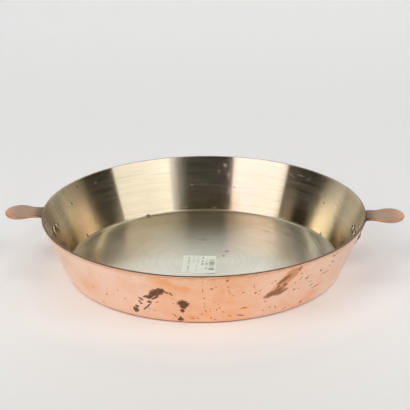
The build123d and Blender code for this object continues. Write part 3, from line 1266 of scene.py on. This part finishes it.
class PAN_OT_stage(bpy.types.Operator):
    """Set up the paper floor, the softboxes, the room and the camera"""

    bl_idname = "tatin_pan.stage"
    bl_label = "Set Stage"

    def execute(self, context):
        settings = context.scene.tatin_studio
        pan = Vector((0, 0, 0.03))
        backdrop = Vector((0, 3.0, 1.1))
        self.lay_paper(settings)
        for softbox in (
            ("Right softbox low", pan, 54, 21, 2.2, (1.8, 0.9), settings.right_low, -4),
            ("Right softbox high", pan, 55, 45, 2.2, (1.9, 0.9), settings.right_high, 0),
            ("Left softbox low", pan, -44, 21, 2.2, (1.7, 0.9), settings.left_low, 8),
            ("Left softbox high", pan, -48, 45, 2.2, (1.4, 0.9), settings.left_high, 8),
            ("Side softbox", pan, -80, 58, 2.2, (1.4, 0.9), settings.side_box, 0),
            ("Backdrop lamp", backdrop, 0, 45, 2.0, (4.0, 0.6), settings.backdrop_box, 0),
        ):
            self.hang_softbox(*softbox)
        self.light_room(context, settings)
        self.place_camera(context, settings)
        context.scene.view_settings.view_transform = "Standard"
        return {"FINISHED"}

    def lay_paper(self, settings):
        """A wide sheet that lies flat and then curves up behind the pan."""
        front, rear, top = -4.0, 2.9, 3.2
        half_width = 4.0
        bend_radius = 0.9
        points = rounded_line([(front, 0.0), (rear, 0.0), (rear, top)], [bend_radius], steps=24, hold=0.05)
        vertices = [(side * half_width, point.x, point.z) for side in (-1, 1) for point in points]
        rows = len(points)
        mesh = bpy.data.meshes.new("studio_paper")
        mesh.from_pydata(vertices, [], [(i, rows + i, rows + i + 1, i + 1) for i in range(rows - 1)])
        mesh.shade_smooth()
        mesh.materials.append(studio_paper(settings))
        new_object("studio_paper", mesh)

    def hang_softbox(self, name, aim, bearing, elevation, distance, size, radiance, lean):
        """A rectangular lamp that faces a point, at degrees right of the front and above the floor.

        Its top leans to the left, seen from that point, by a number of degrees.
        """
        right, up = math.radians(bearing), math.radians(elevation)
        away = Vector((math.sin(right) * math.cos(up), -math.cos(right) * math.cos(up), math.sin(up)))
        light = bpy.data.lights.new(name, "AREA")
        light.shape = "RECTANGLE"
        light.size, light.size_y = size
        light.energy = radiance * math.pi * size[0] * size[1]
        lamp = new_object(name, light)
        lamp.location = aim + away * distance
        lamp.rotation_mode = "QUATERNION"
        lamp.rotation_quaternion = away.to_track_quat("Z", "Y") @ Quaternion((0, 0, 1), math.radians(lean))
        lamp.visible_camera = False

    def light_room(self, context, settings):
        """A dark room with pale walls beside the backdrop. The camera itself sees it all pale."""
        world = bpy.data.worlds.new("Studio")
        world.use_nodes = True
        nodes = Tree(world.node_tree)
        nodes.tree.nodes.clear()
        _, ahead, up = nodes.parts(nodes.node("ShaderNodeTexCoord")["Generated"])
        ceiling = nodes.ease(up, 0.70, 0.90) * settings.ceiling
        far_walls = nodes.ease(ahead, 0.12, 0.40) * settings.far_walls
        level = nodes.largest([ceiling, far_walls, settings.room])
        seen = nodes.node("ShaderNodeLightPath")["Is Camera Ray"]
        room = nodes.node("ShaderNodeBackground", None, {"Color": (1.0, 1.0, 1.0, 1.0), "Strength": level})
        pale = nodes.node("ShaderNodeBackground", None, {"Color": (0.80, 0.80, 0.79, 1.0), "Strength": 1.0})
        shown = nodes.node("ShaderNodeMixShader", None, {0: seen, 1: room, 2: pale})
        nodes.node("ShaderNodeOutputWorld", None, {"Surface": shown})
        context.scene.world = world

    def place_camera(self, context, settings):
        """The camera at the photograph's angle."""
        camera = bpy.data.cameras.new("Camera")
        camera.lens = settings.camera_lens
        camera.sensor_width = 36
        camera.clip_start = 0.05
        place = Vector(settings.camera_place)
        sight = Vector(settings.camera_target) - place
        aimed = sight.to_track_quat("-Z", "Y").to_matrix().to_4x4()
        rolled = Matrix.Rotation(settings.camera_roll, 4, "Z")
        holder = new_object("Camera", camera)
        holder.matrix_world = Matrix.Translation(place) @ aimed @ rolled
        context.scene.camera = holder


class PAN_PT_panel(bpy.types.Panel):
    """Lists the pan's sizes, colours and building steps"""

    bl_idname = "PAN_PT_panel"
    bl_label = "Tarte Tatin Pan"
    bl_space_type = "VIEW_3D"
    bl_region_type = "UI"
    bl_category = "Tatin Pan"

    def draw(self, context):
        for name in GROUPS:
            group = getattr(context.scene, name)
            box = self.layout.box()
            box.label(text=group.bl_rna.description)
            for key in type(group).__annotations__:
                box.prop(group, key)
        for operator in OPERATORS:
            self.layout.operator(operator.bl_idname)


GROUPS = {
    "tatin_pan": PanSizes,
    "tatin_rivets": RivetSizes,
    "tatin_label": LabelSizes,
    "tatin_colours": PanColours,
    "tatin_studio": StudioSettings,
}
OPERATORS = (PAN_OT_layers, PAN_OT_rivets, PAN_OT_handles, PAN_OT_label, PAN_OT_stage)


def register():
    """Registers the classes and hangs the property groups on the scene."""
    for cls in (*GROUPS.values(), *OPERATORS, PAN_PT_panel):
        bpy.utils.register_class(cls)
    for name, group in GROUPS.items():
        setattr(bpy.types.Scene, name, bpy.props.PointerProperty(type=group))


def unregister():
    """Takes the property groups and the classes away again."""
    for name in GROUPS:
        delattr(bpy.types.Scene, name)
    for cls in reversed((*GROUPS.values(), *OPERATORS, PAN_PT_panel)):
        bpy.utils.unregister_class(cls)


def main():
    """Builds the pan and its studio."""
    register()
    bpy.ops.tatin_pan.layers()
    bpy.ops.tatin_pan.rivets()
    bpy.ops.tatin_pan.handles()
    bpy.ops.tatin_pan.label()
    bpy.ops.tatin_pan.stage()


if __name__ == "__main__":
    main()
